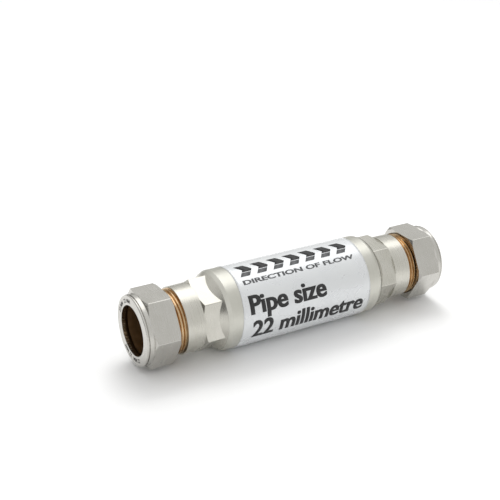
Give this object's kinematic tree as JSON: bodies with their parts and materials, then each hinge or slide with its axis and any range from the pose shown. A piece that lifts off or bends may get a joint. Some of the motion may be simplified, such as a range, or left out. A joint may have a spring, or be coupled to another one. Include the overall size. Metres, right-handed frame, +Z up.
{
  "type": "inline magnetic water conditioner",
  "caption": "Tubular in-line magnetic water conditioner: labelled casing with a sealed magnet core, and a hexagon body end, threaded shank and compression nut at each end for plain pipe.",
  "frame": {"origin": "middle of the casing, on its axis", "axes": "+X along the axis towards the outlet, +Z up, +Y towards the back"},
  "size_m": [0.1538, 0.0364, 0.0363],
  "materials": {
    "casing_nickel": "satin nickel plate",
    "fitting_nickel": "satin nickel plate, thread left bare",
    "nut_nickel": "satin nickel plate",
    "label_film": "silver printed film",
    "olive_brass": "turned, bare",
    "seal_rubber": "moulded",
    "core_plastic": "moulded acetal",
    "core_steel": "drawn stainless tube",
    "pole_steel": "turned steel",
    "magnet": "plated magnet alloy"
  },
  "bodies": {
    "casing": {"casing_tube": "casing_nickel", "label": "label_film", "core_sleeve": "core_steel", "magnet_1": "magnet", "magnet_2": "magnet", "magnet_3": "magnet", "magnet_4": "magnet", "pole_piece_1": "pole_steel", "pole_piece_2": "pole_steel", "pole_piece_3": "pole_steel", "pole_piece_4": "pole_steel", "pole_piece_5": "pole_steel", "inlet_core_plug": "core_plastic", "inlet_core_seal": "seal_rubber", "inlet_spider": "core_plastic", "inlet_body_oring": "seal_rubber", "outlet_core_plug": "core_plastic", "outlet_core_seal": "seal_rubber", "outlet_spider": "core_plastic", "outlet_body_oring": "seal_rubber", "inlet_end_fitting": "fitting_nickel", "outlet_end_fitting": "fitting_nickel"},
    "inlet_olive_body": {"inlet_olive": "olive_brass"},
    "inlet_nut_body": {"inlet_nut": "nut_nickel"},
    "outlet_olive_body": {"outlet_olive": "olive_brass"},
    "outlet_nut_body": {"outlet_nut": "nut_nickel"}
  },
  "joints": [
    {"name": "inlet_olive_slide", "type": "slide", "parent": "casing", "child": "inlet_olive_body", "axis": [-1, 0, 0], "range_m": [-0.0015, 0.006]},
    {"name": "inlet_nut_turn", "type": "hinge", "parent": "inlet_olive_body", "child": "inlet_nut_body", "pos_m": [-0.0712, 0, 0], "axis": [-1, 0, 0], "range_deg": [-360, 1440]},
    {"name": "outlet_olive_slide", "type": "slide", "parent": "casing", "child": "outlet_olive_body", "axis": [1, 0, 0], "range_m": [-0.0015, 0.006]},
    {"name": "outlet_nut_turn", "type": "hinge", "parent": "outlet_olive_body", "child": "outlet_nut_body", "pos_m": [0.0712, 0, 0], "axis": [1, 0, 0], "range_deg": [-360, 1440]}
  ],
  "couplings": [
    {"joint": "inlet_olive_slide", "follows": "inlet_nut_turn", "m_per_rad": 0.00023873},
    {"joint": "outlet_olive_slide", "follows": "outlet_nut_turn", "m_per_rad": 0.00023873}
  ]
}
